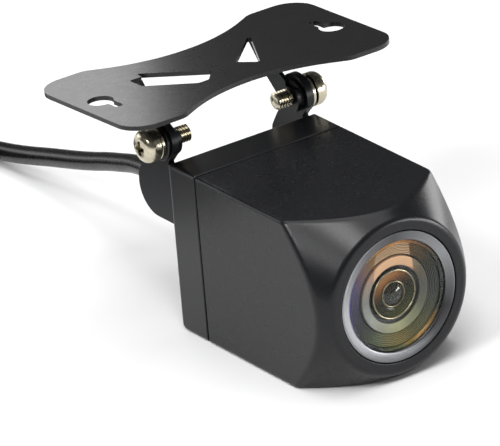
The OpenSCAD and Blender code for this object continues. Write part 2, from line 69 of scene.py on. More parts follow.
camera = bpy.data.objects.new("camera", bpy.data.cameras.new("camera"))
bpy.context.scene.collection.objects.link(camera)
bpy.context.scene.camera = camera
look_right = Vector((0.81727, -0.57075, -0.07954))
look_down = Vector((-0.29187, -0.29096, -0.91113))
look_ahead = Vector((0.49676, 0.76784, -0.40454))
camera.matrix_world = Matrix((
    (look_right.x, -look_down.x, -look_ahead.x, -0.53402),
    (look_right.y, -look_down.y, -look_ahead.y, -0.78987 + front_y * MM),
    (look_right.z, -look_down.z, -look_ahead.z, 0.44690),
    (0, 0, 0, 1)))
SENSOR_MM, FOCAL_PIXELS, PHOTO_PIXELS = 36, 7731.8, 500
camera.data.sensor_width = SENSOR_MM
camera.data.lens = FOCAL_PIXELS * SENSOR_MM / PHOTO_PIXELS
camera.data.clip_start, camera.data.clip_end = 0.05, 20

# ---------------------------------------------------------------- mesh helpers


def arc_corner(a, p, b, r, steps):
    """Points of the arc of radius r that rounds corner p between a and b."""
    a, p, b = (np.array(v, float) for v in (a, p, b))
    if r <= 0:
        return [p]
    u, v = (a - p) / np.linalg.norm(a - p), (b - p) / np.linalg.norm(b - p)
    half = math.acos(max(-1, min(1, u @ v))) / 2
    centre = p + (u + v) / np.linalg.norm(u + v) * r / math.sin(half)
    first = p + u * r / math.tan(half) - centre
    last = p + v * r / math.tan(half) - centre
    start = math.atan2(first[1], first[0])
    sweep = (math.atan2(last[1], last[0]) - start + math.pi) % (2 * math.pi) - math.pi
    return [centre + r * np.array([math.cos(start + sweep * i / steps),
                                   math.sin(start + sweep * i / steps)])
            for i in range(steps + 1)]


def rounded(corners, steps=8):
    """Closed outline through corners (x, y, radius)."""
    n = len(corners)
    found = []
    for i, c in enumerate(corners):
        found += arc_corner(corners[i - 1][:2], c[:2], corners[(i + 1) % n][:2], c[2], steps)
    return np.array(found)


def face_outwards(mesh):
    """Turns the faces of a closed mesh so that their normals point out of it."""
    bm = bmesh.new()
    bm.from_mesh(mesh)
    bmesh.ops.recalc_face_normals(bm, faces=bm.faces)
    bm.to_mesh(mesh)
    bm.free()


def put(obj, place):
    """Links obj to the scene at place, a 4x4 matrix in millimetres."""
    bpy.context.scene.collection.objects.link(obj)
    matrix = place.copy()
    matrix.translation *= MM
    obj.matrix_world = matrix


def piece(name, verts, faces, body, material, crease, place):
    """A new mesh in millimetres, put at place (a 4x4 matrix in millimetres), riding on a CAD body."""
    mesh = bpy.data.meshes.new(name)
    mesh.from_pydata([tuple(np.array(v, float) * MM) for v in verts], [], [tuple(f) for f in faces])
    mesh.validate()
    return finish_piece(name, mesh, body, material, crease, place)


def finish_piece(name, mesh, body, material, crease, place):
    """Turns a mesh into a shaded object at place, sharp where faces meet above crease degrees."""
    face_outwards(mesh)
    mesh.shade_smooth()
    mesh.set_sharp_from_angle(angle=math.radians(crease))
    obj = bpy.data.objects.new(name, mesh)
    put(obj, place)
    obj.data.materials.append(material)
    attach(obj, body)
    return obj


def turned(profile, steps):
    """Verts and faces of a closed profile [(r, z)] turned about the local Z axis."""
    verts, rows = [], []
    for r, z in profile:
        if r < 1e-6:
            rows.append([len(verts)] * steps)
            verts.append((0, 0, z))
            continue
        rows.append(list(range(len(verts), len(verts) + steps)))
        verts += [(r * math.cos(2 * math.pi * k / steps), r * math.sin(2 * math.pi * k / steps), z)
                  for k in range(steps)]
    faces = []
    for a, b in zip(rows, rows[1:] + rows[:1]):
        for k in range(steps):
            j = (k + 1) % steps
            face = []
            for v in (a[k], a[j], b[j], b[k]):
                if v not in face:
                    face.append(v)
            if len(face) > 2:
                faces.append(face)
    return verts, faces


def lathe(name, profile, body, material, place, steps, crease=35):
    """A piece turned from a closed profile [(r, z)] about the local Z axis of place."""
    verts, faces = turned(profile, steps)
    return piece(name, verts, faces, body, material, crease, place)


# Local Z points backwards along the lens axis, from the front face
lens_place = Matrix.Translation((0, front_y, axis_z)) @ Matrix.Rotation(math.radians(-90), 4, "X")


def sheet_piece(name, outlines, thickness, body, material, place, bevel, segments=3):
    """Flat sheet between local z = 0 and z = thickness, with holes, and rounded edges."""
    bm = bmesh.new()
    edges = []
    for outline in outlines:
        loop = [bm.verts.new((p[0] * MM, p[1] * MM, 0)) for p in outline]
        edges += [bm.edges.new((loop[i - 1], loop[i])) for i in range(len(loop))]
    bmesh.ops.triangle_fill(bm, use_beauty=True, use_dissolve=False, edges=edges)
    made = bmesh.ops.extrude_face_region(bm, geom=list(bm.faces))
    top = [v for v in made["geom"] if isinstance(v, bmesh.types.BMVert)]
    bmesh.ops.translate(bm, verts=top, vec=(0, 0, thickness * MM))
    bmesh.ops.recalc_face_normals(bm, faces=bm.faces)
    mesh = bpy.data.meshes.new(name)
    bm.to_mesh(mesh)
    bm.free()
    return round_edges(finish_piece(name, mesh, body, material, 35, place), bevel, segments)


def round_edges(obj, width, segments):
    """Adds a bevel, width in millimetres, on edges sharper than 50 degrees."""
    m = obj.modifiers.new("round", "BEVEL")
    m.width = width * MM
    m.segments = segments
    m.limit_method = "ANGLE"
    m.angle_limit = math.radians(50)
    m.harden_normals = True
    m.use_clamp_overlap = True
    return obj


def carve(obj, cutters):
    """Cuts other meshes out of obj, for good."""
    for c in cutters:
        m = obj.modifiers.new("cut", "BOOLEAN")
        m.object = c
        m.operation = "DIFFERENCE"
        m.solver = "EXACT"
    bpy.context.view_layer.update()
    done = bpy.data.meshes.new_from_object(obj.evaluated_get(bpy.context.evaluated_depsgraph_get()))
    obj.modifiers.clear()
    obj.data = done
    for c in cutters:
        bpy.data.objects.remove(c)
    return obj


# ---------------------------------------------------------------- materials


class Shade:
    """A node material built step by step, on a Principled shader."""

    def __init__(self, name, **values):
        self.material = bpy.data.materials.new(name)
        self.material.use_nodes = True
        self.tree = self.material.node_tree
        self.shader = self.tree.nodes["Principled BSDF"]
        self.coords = self.node("ShaderNodeTexCoord").outputs["Object"]
        for key, value in values.items():
            self.shader.inputs[key.replace("_", " ")].default_value = value

    def node(self, kind, **settings):
        made = self.tree.nodes.new(kind)
        for key, value in settings.items():
            setattr(made, key, value)
        return made

    def link(self, source, target):
        self.tree.links.new(source, target)

    def noise(self, scale, detail=3, roughness=0.5, coords=None):
        n = self.node("ShaderNodeTexNoise")
        n.inputs["Scale"].default_value = scale
        n.inputs["Detail"].default_value = detail
        n.inputs["Roughness"].default_value = roughness
        self.link(coords or self.coords, n.inputs["Vector"])
        return n.outputs["Fac"]

    def ramp(self, fac, stops):
        r = self.node("ShaderNodeValToRGB")
        r.color_ramp.interpolation = "LINEAR"
        while len(r.color_ramp.elements) < len(stops):
            r.color_ramp.elements.new(0.5)
        for e, (at, value) in zip(r.color_ramp.elements, stops):
            e.position = at
            e.color = (*value, 1) if hasattr(value, "__len__") else (value, value, value, 1)
        self.link(fac, r.inputs["Fac"])
        return r.outputs["Color"]

    def spread(self, fac, low, high, start=0.35, end=0.65):
        m = self.node("ShaderNodeMapRange")
        m.inputs["From Min"].default_value = start
        m.inputs["From Max"].default_value = end
        m.inputs["To Min"].default_value = low
        m.inputs["To Max"].default_value = high
        self.link(fac, m.inputs["Value"])
        return m.outputs["Result"]

    def math(self, operation, a, b=None):
        m = self.node("ShaderNodeMath", operation=operation)
        for slot, value in zip(m.inputs, (a, b)):
            if value is None:
                continue
            if isinstance(value, (int, float)):
                slot.default_value = value
            else:
                self.link(value, slot)
        return m.outputs[0]

    def mix(self, fac, a, b):
        m = self.node("ShaderNodeMix", data_type="RGBA")
        for slot, value in ((m.inputs[0], fac), (m.inputs[6], a), (m.inputs[7], b)):
            if isinstance(value, bpy.types.NodeSocket):
                self.link(value, slot)
            elif isinstance(value, (int, float)):
                slot.default_value = value
            else:
                slot.default_value = (*value, 1)
        return m.outputs[2]

    def colour(self, socket):
        self.link(socket, self.shader.inputs["Base Color"])
        return self

    def rough(self, socket):
        self.link(socket, self.shader.inputs["Roughness"])
        return self

    def bump(self, height, distance):
        """Bump from a height socket. Distance is in millimetres."""
        b = self.node("ShaderNodeBump")
        b.inputs["Strength"].default_value = 1.0
        b.inputs["Distance"].default_value = distance * MM
        self.link(height, b.inputs["Height"])
        self.link(b.outputs["Normal"], self.shader.inputs["Normal"])
        return self


def speckled(s, dark, light, scale=400, fine=5200):
    """Base colour with broad clouding and a fine grain."""
    cloud = s.spread(s.noise(scale, 2), 0, 1)
    grain = s.spread(s.noise(fine, 2), 0, 1, 0.3, 0.7)
    both = s.math("ADD", s.math("MULTIPLY", cloud, 0.5), s.math("MULTIPLY", grain, 0.5))
    return s.colour(s.mix(both, dark, light))


def satin_paint(name, dark, light, rough, grain, scale, **values):
    s = Shade(name, **values)
    speckled(s, dark, light)
    s.rough(s.spread(s.noise(900, 4), *rough))
    s.bump(s.noise(scale, 3, 0.55), grain)
    return s.material


def plain_metal(name, dark, light, rough):
    s = Shade(name, Metallic=1.0)
    speckled(s, dark, light, 1500, 9000)
    s.rough(s.spread(s.noise(2500, 4), *rough))
    s.bump(s.noise(9000, 3, 0.6), 0.006)
    return s.material


def moulded(name, dark, light, rough, grain, scale):
    s = Shade(name)
    speckled(s, dark, light)
    s.rough(s.spread(s.noise(1800, 3), *rough))
    s.bump(s.noise(scale, 2), grain)
    return s.material


housing_mat = satin_paint("housing_black", (0.0060, 0.0063, 0.0076), (0.0068, 0.0071, 0.0086),
                          (0.272, 0.286), 0.0004, 5200, Specular_IOR_Level=0.31)
cover_mat = satin_paint("cover_black", (0.0056, 0.0059, 0.0070), (0.0064, 0.0067, 0.0079),
                        (0.282, 0.296), 0.0004, 5200, Specular_IOR_Level=0.36)
plate_mat = satin_paint("plate_black", (0.0064, 0.0063, 0.0063), (0.0086, 0.0084, 0.0083), (0.27, 0.29),
                        0.0005, 4200, Specular_IOR_Level=0.42)
bracket_mat = satin_paint("bracket_black", (0.005, 0.0056, 0.0070), (0.0074, 0.0080, 0.0098),
                          (0.3, 0.34), 0.0005, 4200, Specular_IOR_Level=0.26)
nickel_mat = plain_metal("nickel", (0.46, 0.42, 0.32), (0.64, 0.59, 0.46), (0.14, 0.26))
black_steel_mat = plain_metal("black_oxide_steel", (0.03, 0.03, 0.034), (0.06, 0.06, 0.065),
                              (0.3, 0.42))
rubber_mat = moulded("black_rubber", (0.007, 0.007, 0.0075), (0.012, 0.012, 0.0125), (0.5, 0.65), 0.02,
                     5000)
cable_mat = moulded("cable_jacket", (0.004, 0.004, 0.0044), (0.007, 0.007, 0.0075), (0.25, 0.28),
                    0.0003, 3000)
cable_mat.node_tree.nodes["Principled BSDF"].inputs["Specular IOR Level"].default_value = 0.34
plastic_mat = moulded("black_plastic", (0.010, 0.010, 0.0108), (0.017, 0.017, 0.018), (0.38, 0.5),
                      0.014, 5200)
# Used by name, in finishes below
moulded("seal_red", (0.30, 0.02, 0.012), (0.42, 0.035, 0.02), (0.35, 0.5), 0.006, 5200)
plain_metal("gold_plate", (0.75, 0.52, 0.18), (0.86, 0.64, 0.26), (0.15, 0.25))
moulded("solder_mask", (0.01, 0.09, 0.03), (0.016, 0.13, 0.045), (0.25, 0.35), 0.01, 2400)
moulded("chip_grey", (0.03, 0.032, 0.038), (0.05, 0.052, 0.06), (0.3, 0.4), 0.004, 5200)
moulded("cream_plastic", (0.62, 0.58, 0.48), (0.72, 0.69, 0.6), (0.35, 0.45), 0.006, 3000)
plain_metal("brass", (0.62, 0.43, 0.14), (0.74, 0.54, 0.22), (0.2, 0.32))
lens_black_mat = moulded("lens_black", (0.004, 0.004, 0.0045), (0.008, 0.008, 0.0085), (0.35, 0.5),
                         0.004, 8000)


def polar(s):
    """Sockets: radius in millimetres, angle as 0..1 (0.5 is +X, 0.75 is up), x and height."""
    xyz = s.node("ShaderNodeSeparateXYZ")
    s.link(s.coords, xyz.inputs[0])
    x, down = xyz.outputs[0], xyz.outputs[1]
    up = s.math("MULTIPLY", down, -1)
    r = s.math("SQRT", s.math("ADD", s.math("MULTIPLY", x, x), s.math("MULTIPLY", up, up)))
    angle = s.math("ADD", s.math("MULTIPLY", s.math("ARCTAN2", up, x), 0.5 / math.pi), 0.5)
    return s.math("MULTIPLY", r, 1000), angle, s.math("MULTIPLY", x, 1000), s.math("MULTIPLY", up, 1000)


def paint_reflection_tints(s, tints, gain, window):
    """Interference tints of the coating painted as reflections by angle round the lens, lighter on some
    sides and darker on others, with a painted paler reflection patch at the top.
    """
    r, angle, x, up = polar(s)
    wobble = s.math("ADD", angle, s.spread(s.noise(500, 2), -0.012, 0.012))
    n = len(tints)
    stops = [(i / (n - 1), tuple(min(1, gain * c) for c in t)) for i, t in enumerate(tints)]
    base = s.ramp(wobble, stops)
    left_side = s.spread(s.math("SUBTRACT", x, s.math("MULTIPLY", up, 0.196)), 0, 1, -4.0, -3.8)
    right_side = s.spread(s.math("ADD", x, s.math("MULTIPLY", up, 0.127)), 1, 0, 3.65, 3.85)
    inside = s.math("MULTIPLY", s.math("MULTIPLY", left_side, right_side), s.spread(up, 0, 1, 2.4, 3.4))
    s.colour(s.mix(inside, base, window))
    return r


# Painted reflection colours: angles run from the left, down, right, up and back to the left, in steps
# of 30 degrees
ridge_reflection_tints = [
    (0.105, 0.098, 0.16), (0.075, 0.079, 0.078), (0.16, 0.19, 0.11), (0.36, 0.27, 0.09),
    (0.18, 0.17, 0.07), (0.13, 0.135, 0.105), (0.085, 0.085, 0.082), (0.07, 0.062, 0.045),
    (0.19, 0.11, 0.045), (0.42, 0.26, 0.13), (0.33, 0.19, 0.08), (0.20, 0.15, 0.24),
    (0.105, 0.098, 0.16),
]
smooth_reflection_tints = [
    (0.19, 0.18, 0.175), (0.28, 0.285, 0.26), (0.23, 0.225, 0.175), (0.30, 0.29, 0.16),
    (0.19, 0.19, 0.11), (0.10, 0.10, 0.07), (0.075, 0.07, 0.062), (0.09, 0.07, 0.048),
    (0.24, 0.16, 0.09), (0.36, 0.21, 0.12), (0.42, 0.22, 0.14), (0.26, 0.20, 0.165),
    (0.19, 0.18, 0.175),
]
RIDGE_OUTER, RIDGE_INNER, RIDGES = 7.4, 5.72, 7
RIDGE_PITCH = (RIDGE_OUTER - RIDGE_INNER) / RIDGES
# Baffle colour: painted reflection tints by angle and a painted reflection patch at the top
s = Shade("baffle_metal", Metallic=0.35, Roughness=0.34)
baffle_r = paint_reflection_tints(s, ridge_reflection_tints, 1.0, (0.70, 0.46, 0.28))
# Each ridge is painted light on its crest and dark in its groove: a painted highlight and painted shade
turn = s.math("MULTIPLY", s.math("SUBTRACT", RIDGE_OUTER, baffle_r), 2 * math.pi / RIDGE_PITCH)
ridge_light_and_shade = s.spread(s.math("COSINE", s.math("SUBTRACT", turn, 2.1)), 0.3, 1.0, -0.6, 0.7)
lit = s.node("ShaderNodeMix", data_type="RGBA", blend_type="MULTIPLY")
lit.inputs[0].default_value = 1
s.link(s.shader.inputs["Base Color"].links[0].from_socket, lit.inputs[6])
s.link(ridge_light_and_shade, lit.inputs[7])
s.colour(lit.outputs[2])
s.rough(s.spread(s.noise(2600, 3), 0.3, 0.42))
s.bump(s.noise(9000, 3), 0.002)
baffle_mat = s.material
# Retainer colour: painted reflection tints by angle and a painted reflection patch at the top
s = Shade("retainer_metal", Metallic=0.3, Roughness=0.42)
paint_reflection_tints(s, smooth_reflection_tints, 0.9, (0.62, 0.36, 0.21))
s.rough(s.spread(s.noise(2600, 3), 0.38, 0.5))
s.bump(s.noise(9000, 3), 0.003)
retainer_mat = s.material

# Gasket colours by angle round the lens: painted reflections, bright on some sides and near black on
# others
s = Shade("gasket_coated", Roughness=0.22)
gasket_reflection_tints = [(0.03, 0.024, 0.13), (0.008, 0.008, 0.012), (0.006, 0.006, 0.006), (0.06, 0.07, 0.012),
              (0.30, 0.15, 0.03), (0.02, 0.018, 0.01), (0.008, 0.008, 0.008), (0.02, 0.015, 0.008),
              (0.14, 0.05, 0.008), (0.42, 0.17, 0.03), (0.22, 0.10, 0.02), (0.06, 0.045, 0.17),
              (0.03, 0.024, 0.13)]
_, gasket_angle, _, _ = polar(s)
s.colour(s.ramp(s.math("ADD", gasket_angle, s.spread(s.noise(700, 2), -0.01, 0.01)),
                [(i / 12, t) for i, t in enumerate(gasket_reflection_tints)]))
s.rough(s.spread(s.noise(1500, 2), 0.18, 0.28))
gasket_mat = s.material

# Brushed in circles: the streaks vary quickly with the radius and slowly with the angle
s = Shade("bezel_brushed", Metallic=1.0, Anisotropic=0.72)
ring_r, ring_angle, _, _ = polar(s)
streak_place = s.node("ShaderNodeCombineXYZ")
s.link(s.math("MULTIPLY", ring_r, 26), streak_place.inputs[0])
s.link(s.math("MULTIPLY", ring_angle, 5), streak_place.inputs[1])
streak = s.noise(1.0, 3, 0.6, coords=streak_place.outputs[0])
brushed = s.mix(s.spread(streak, 0, 1), (0.34, 0.345, 0.36), (0.52, 0.525, 0.55))
# Painted highlights by angle, left, down, right, up and left again: lighter on two sides, where the
# brushing would catch the light
painted_gleam = s.ramp(ring_angle, [(0.0, 0.74), (0.08, 0.58), (0.17, 0.44), (0.27, 0.34), (0.36, 0.14),
                            (0.43, 0.12), (0.5, 0.34), (0.58, 0.62), (0.66, 0.46), (0.75, 0.2),
                            (0.84, 0.34), (0.93, 0.62), (1.0, 0.74)])
both = s.node("ShaderNodeMix", data_type="RGBA", blend_type="MULTIPLY")
both.inputs[0].default_value = 1
s.link(brushed, both.inputs[6])
s.link(painted_gleam, both.inputs[7])
s.colour(both.outputs[2])
s.rough(s.spread(streak, 0.26, 0.4))
s.bump(streak, 0.006)
tangent = s.node("ShaderNodeTangent", direction_type="RADIAL", axis="Z")
s.link(tangent.outputs[0], s.shader.inputs["Tangent"])
bezel_mat = s.material


def clear_glass(name, tint, gloss_tint, low, high):
    """Coated glass: mostly clear, with a weak tinted reflection that grows at grazing angles."""
    s = Shade(name)
    out = s.tree.nodes["Material Output"]
    s.tree.nodes.remove(s.shader)
    clear = s.node("ShaderNodeBsdfTransparent")
    clear.inputs[0].default_value = (*tint, 1)
    gloss = s.node("ShaderNodeBsdfGlossy")
    gloss.inputs["Roughness"].default_value = 0.03
    s.link(s.mix(s.noise(300, 3), gloss_tint, tuple(0.82 * c for c in gloss_tint)),
           gloss.inputs["Color"])
    weight = s.node("ShaderNodeLayerWeight")
    weight.inputs["Blend"].default_value = 0.25
    both = s.node("ShaderNodeMixShader")
    s.link(s.spread(weight.outputs["Facing"], low, high, 0, 1), both.inputs[0])
    s.link(clear.outputs[0], both.inputs[1])
    s.link(gloss.outputs[0], both.inputs[2])
    s.link(both.outputs[0], out.inputs["Surface"])
    return s.material


window_mat = clear_glass("window_glass", (0.97, 0.98, 0.97), (0.85, 0.92, 1.0), 0.004, 0.035)

# Dark glass seen into, with a painted coated reflection in its colour: amber and lighter above, olive
# below
s = Shade("lens_glass", Roughness=0.05, IOR=1.5, Specular_IOR_Level=0.16)
_, _, lens_x, lens_up = polar(s)
tilt = s.math("ADD", s.math("MULTIPLY", lens_up, 0.14), s.math("MULTIPLY", lens_x, -0.05))
glow = s.ramp(s.math("ADD", s.math("ADD", tilt, 0.5), s.spread(s.noise(900, 2), -0.02, 0.02)), [
    (0.0, (0.045, 0.046, 0.014)), (0.3, (0.022, 0.021, 0.009)), (0.5, (0.014, 0.011, 0.006)),
    (0.66, (0.045, 0.02, 0.008)), (0.82, (0.17, 0.07, 0.022)), (1.0, (0.34, 0.15, 0.06))])
s.colour(glow)
s.rough(s.spread(s.noise(1500, 2), 0.04, 0.07))
lens_mat = s.material
s = Shade("lens_dome", Roughness=0.04, IOR=1.5, Specular_IOR_Level=0.5)
dome_r, _, _, _ = polar(s)
# Rings painted by radius: a thin light ring on dark glass, a painted reflection of the elements inside
rings = s.ramp(s.math("MULTIPLY", dome_r, 0.5), [
    (0.0, (0.004, 0.004, 0.003)), (0.22, (0.006, 0.006, 0.004)), (0.27, (0.05, 0.045, 0.03)),
    (0.32, (0.012, 0.011, 0.007)), (0.55, (0.018, 0.016, 0.01)), (0.8, (0.014, 0.012, 0.007))])
s.colour(s.mix(s.spread(s.noise(1400, 2), 0, 0.12), rings, (0.06, 0.045, 0.03)))
dome_mat = s.material
rim_mat = plain_metal("lens_rim", (0.20, 0.17, 0.11), (0.32, 0.27, 0.18), (0.26, 0.38))
# Used by name, in finishes below
clear_glass("inner_glass", (0.8, 0.84, 0.8), (0.7, 1.0, 0.8), 0.05, 0.3)
clear_glass("filter_glass", (0.65, 0.85, 0.9), (1.0, 0.55, 0.6), 0.1, 0.4)

# Materials, by name, of the CAD nodes that stay in view as they are
finishes = {
    "black_rubber": ["housing_seal", "barrel_seal", "friction_washers"],
    "cable_jacket": ["inner_lead", "camera_cable", "cable_coil", "cable_tail"],
    "black_plastic": ["lens_holder", "board_link", "coil_tie"],
    "seal_red": ["connector_seal"], "gold_plate": ["connector_pins"],
    "solder_mask": ["sensor_board", "power_board"], "chip_grey": ["image_sensor", "power_components"],
    "cream_plastic": ["cable_socket", "wire_plug"], "brass": ["board_spacers"],
    "nickel": ["board_screws"], "lens_black": ["lens_spacer", "lens_stop"],
    "inner_glass": ["middle_lens", "rear_lens"], "filter_glass": ["ir_filter"],
}


for material_name, members in finishes.items():
    for node in members:
        kept = nodes[node].data.materials
        kept.clear()
        kept.append(bpy.data.materials[material_name])

# ---------------------------------------------------------------- cable

CABLE_D = 2.8
cable_route = [
    (0, 25.5, 12.5), (0, 28, 12.5), (0.2, 31, 12.4), (0.6, 34, 12.1),
    (1, 37, 11.7), (1.3, 40, 11.1), (1.4, 43, 10.3), (1.5, 47, 9.2), (1.5, 51, 8),
    (1.5, 55, 6.9), (1.5, 59, 5.9), (1.5, 63, 4.9), (1.4, 67, 3.9), (1.2, 71, 3),
    (0.9, 75, 2.3), (0.5, 79, 1.8), (0.2, 83, 1.6), (0, 87, 1.8), (0, 90, 1.9),
]
COIL_X, COIL_Y, COIL_LIFT = -19.8, 90.0, 0.5
PER_TURN = 16


def coil_points():
    """Centreline of the coil: a lower layer wound inwards, then an upper one wound outwards."""
    outer = 15.6 + CABLE_D * 1.5
    low, high = COIL_LIFT + CABLE_D / 2, COIL_LIFT + CABLE_D * 1.5
    shift = 2.5 / PER_TURN
    points = []
    total = 4 * PER_TURN + int(3.5 * PER_TURN)
    for i in range(1, total + 1):
        t = i / PER_TURN
        if t <= 4:
            level = sum(min(1, max(0, (t - k) / shift / 1.0)) for k in (1, 2, 3))
            z = low
        else:
            level = 3 - sum(min(1, max(0, (t - k) / shift / 1.0)) for k in (5, 6, 7))
            z = low + (high - low) * min(1, (t - 4) / shift)
        r = outer - CABLE_D * level
        a = 2 * math.pi * t
        points.append((COIL_X + r * math.cos(a), COIL_Y + r * math.sin(a), z))
    return points


tail_route = [
    (connector_x, 87, 4.8), (connector_x, 84, 5.1), (connector_x, 81, 5.5),
    (connector_x, 78, 5.9), (connector_x, 76, 6),
]
lead_points = cable_route + coil_points() + tail_route
lead_curve = bpy.data.curves.new("camera_lead", "CURVE")
lead_curve.dimensions = "3D"
lead_curve.bevel_depth = CABLE_D / 2 * MM
lead_curve.bevel_resolution = 7
lead_curve.resolution_u = 6
lead_curve.use_fill_caps = True
spline = lead_curve.splines.new("BEZIER")
spline.bezier_points.add(len(lead_points) - 1)
for i, (b, p) in enumerate(zip(spline.bezier_points, lead_points)):
    b.co = Vector(p) * MM
    b.handle_left_type = b.handle_right_type = "AUTO"
lead = bpy.data.objects.new("camera_lead", lead_curve)
bpy.context.scene.collection.objects.link(lead)
lead_curve.materials.append(cable_mat)
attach(lead, "camera")
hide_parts("camera_cable", "cable_coil", "cable_tail")

# ---------------------------------------------------------------- case

BODY_D, COVER_START, HOUSING_D = 35.8, 29.5, 29.2
CONE_R, CONE_SLOPE = 11.2, 1.32
SEAT_R, SEAT_D, BORE_R, FRONT_WALL = 9.55, 1.6, 5.6, 3.0
WALL, SIDE_R, BACK_R, BOTTOM_R, CASE_BEVEL = 1.5, 0.55, 0.5, 2, 0.12
REAR_BORE_R = 3.0
REAR_SCREW = 8.4  # the rear screws lie this far each way from the lens axis


def round_meet(a, b, r):
    """Inside distance to two faces whose common edge has radius r."""
    u, v = np.maximum(r - a, 0), np.maximum(r - b, 0)
    return np.where((u > 0) & (v > 0), r - np.hypot(u, v), np.minimum(a, b))


def soft_meet(a, b, k):
    """Like the smaller of a and b, blended over k."""
    h = np.clip(0.5 + 0.5 * (b - a) / k, 0, 1)
    return b + (a - b) * h - k * h * (1 - h)


def body_angles():
    """Angles round the lens axis, close together at the corners of the square."""
    octant = list(np.linspace(0, 41.5, 40)[:-1]) + list(np.linspace(41.5, 45, 15))
    quarter = octant + [90 - a for a in octant[-2::-1]]
    return np.radians([q + 90 * k for k in range(4) for q in quarter[:-1]])


angles = body_angles()
cos_a, sin_a = np.cos(angles), np.sin(angles)


def case_front(r, depth, shrink=0.0):
    x, z = np.abs(r * cos_a), np.abs(r * sin_a)
    sides = round_meet(body_half - shrink - x, body_half - shrink - z, SIDE_R)
    cone = (depth - (r - CONE_R) * CONE_SLOPE) / math.hypot(1, CONE_SLOPE) - shrink
    front = depth - (FRONT_WALL if shrink else 0)
    return soft_meet(soft_meet(sides, cone, 0.4), front, 0.5)


def case_back(r, depth, shrink=0.0):
    x, z = r * cos_a, r * sin_a
    side, top, bottom = (body_half - shrink - v for v in (np.abs(x), z, -z))
    back = BODY_D - shrink - depth
    found = round_meet(side, np.minimum(top, bottom), SIDE_R)
    found = np.minimum(found, round_meet(bottom, back, max(BOTTOM_R - shrink, 0.4)))
    return np.minimum(found, round_meet(np.minimum(side, top), back, BACK_R))


def march(inside, start_r, start_depth, step_r, step_depth, shrink=0.0, reach=26.0):
    """Where rays from one point of every half plane leave the solid."""
    low, high = np.zeros(len(angles)), np.full(len(angles), reach)
    for _ in range(40):
        mid = (low + high) / 2
        ok = inside(start_r + mid * step_r, start_depth + mid * step_depth, shrink) > 0
        low, high = np.where(ok, mid, low), np.where(ok, high, mid)
    return start_r + low * step_r, start_depth + low * step_depth


def shell(name, rows, material):
    """Closed skin through rows of (radius, depth) given for every angle."""
    n = len(angles)
    verts, faces = [], []
    for r, depth in rows:
        r, depth = np.broadcast_to(r, n), np.broadcast_to(depth, n)
        verts += list(zip(r * cos_a, -r * sin_a, depth))
    count = len(rows)
    for i in range(count):
        a, b = i * n, (i + 1) % count * n
        faces += [(a + k, a + (k + 1) % n, b + (k + 1) % n, b + k) for k in range(n)]
    return piece(name, verts, faces, "camera", material, 32, lens_place)


rows = [(BORE_R, FRONT_WALL), (BORE_R, SEAT_D), (SEAT_R, SEAT_D), (SEAT_R, 0.12), (SEAT_R + 0.04, 0.03),
        (SEAT_R + 0.12, 0)]
rows += [(9.9, 0.0)]
rows += [march(case_front, 9.6, 1.9, math.sin(a), -math.cos(a))
         for a in np.radians(np.linspace(14, 90, 34))]
rows += [march(case_front, 9.6, d, 1, 0) for d in
         list(np.arange(2.1, 9.9, 0.22)) + [10, 11, 13, 17, 21, 25, HOUSING_D - CASE_BEVEL]]
edge_r, _ = rows[-1]
rows += [(edge_r - CASE_BEVEL, HOUSING_D)]
rows += [march(case_front, 6, d, 1, 0, WALL) for d in (HOUSING_D, 20, 12, 9, 7, 5.5, 4.5, 3.8)]
rows += [(np.minimum(rows[-1][0], 9.0), FRONT_WALL)]
front_shell = shell("front_shell", rows, housing_mat)
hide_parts("front_housing")

rows = [(REAR_BORE_R, BODY_D - WALL), (REAR_BORE_R, BODY_D)]
rows += [march(case_back, 9.0, 32.4, math.sin(a), math.cos(a), reach=12) for a in np.radians(
    list(np.linspace(8, 36, 6)) + list(np.linspace(38, 82, 34)))]
rows += [march(case_back, 6, d, 1, 0) for d in (32.4, 31, COVER_START + CASE_BEVEL)]
rows += [(rows[-1][0] - CASE_BEVEL, COVER_START)]
rows += [march(case_back, 6, d, 1, 0, WALL) for d in (COVER_START, 32, 33.2)]
rows += [(np.minimum(rows[-1][0], 10.5), BODY_D - WALL)]
rear_shell = shell("rear_shell", rows, cover_mat)
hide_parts("rear_cover")

# ---------------------------------------------------------------- lens


def lens_part(name, profile, material, slot, *replaced, steps):
    made = lathe(name, profile, "camera", material, lens_place, steps, 28)
    if replaced:
        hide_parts(*replaced)
    return made


lens_part("window_bezel", [
    (8.0, 1.6), (8.0, 0.42), (8.03, 0.36), (8.1, 0.3), (8.3, 0.24), (8.7, 0.14), (9.1, 0.05),
    (9.25, 0.03), (9.35, 0.05), (9.42, 0.12), (9.45, 0.22), (9.45, 1.6)],
    bezel_mat, "bezel_metal", "bezel_ring", steps=320)
lens_part("window_glass", [
    (0, 0.32), (4, 0.32), (7.8, 0.32), (7.87, 0.34), (7.92, 0.4), (7.92, 0.56), (7.88, 0.62),
    (7.8, 0.65), (0, 0.65)], window_mat, "clear_glass", "cover_glass", steps=160)

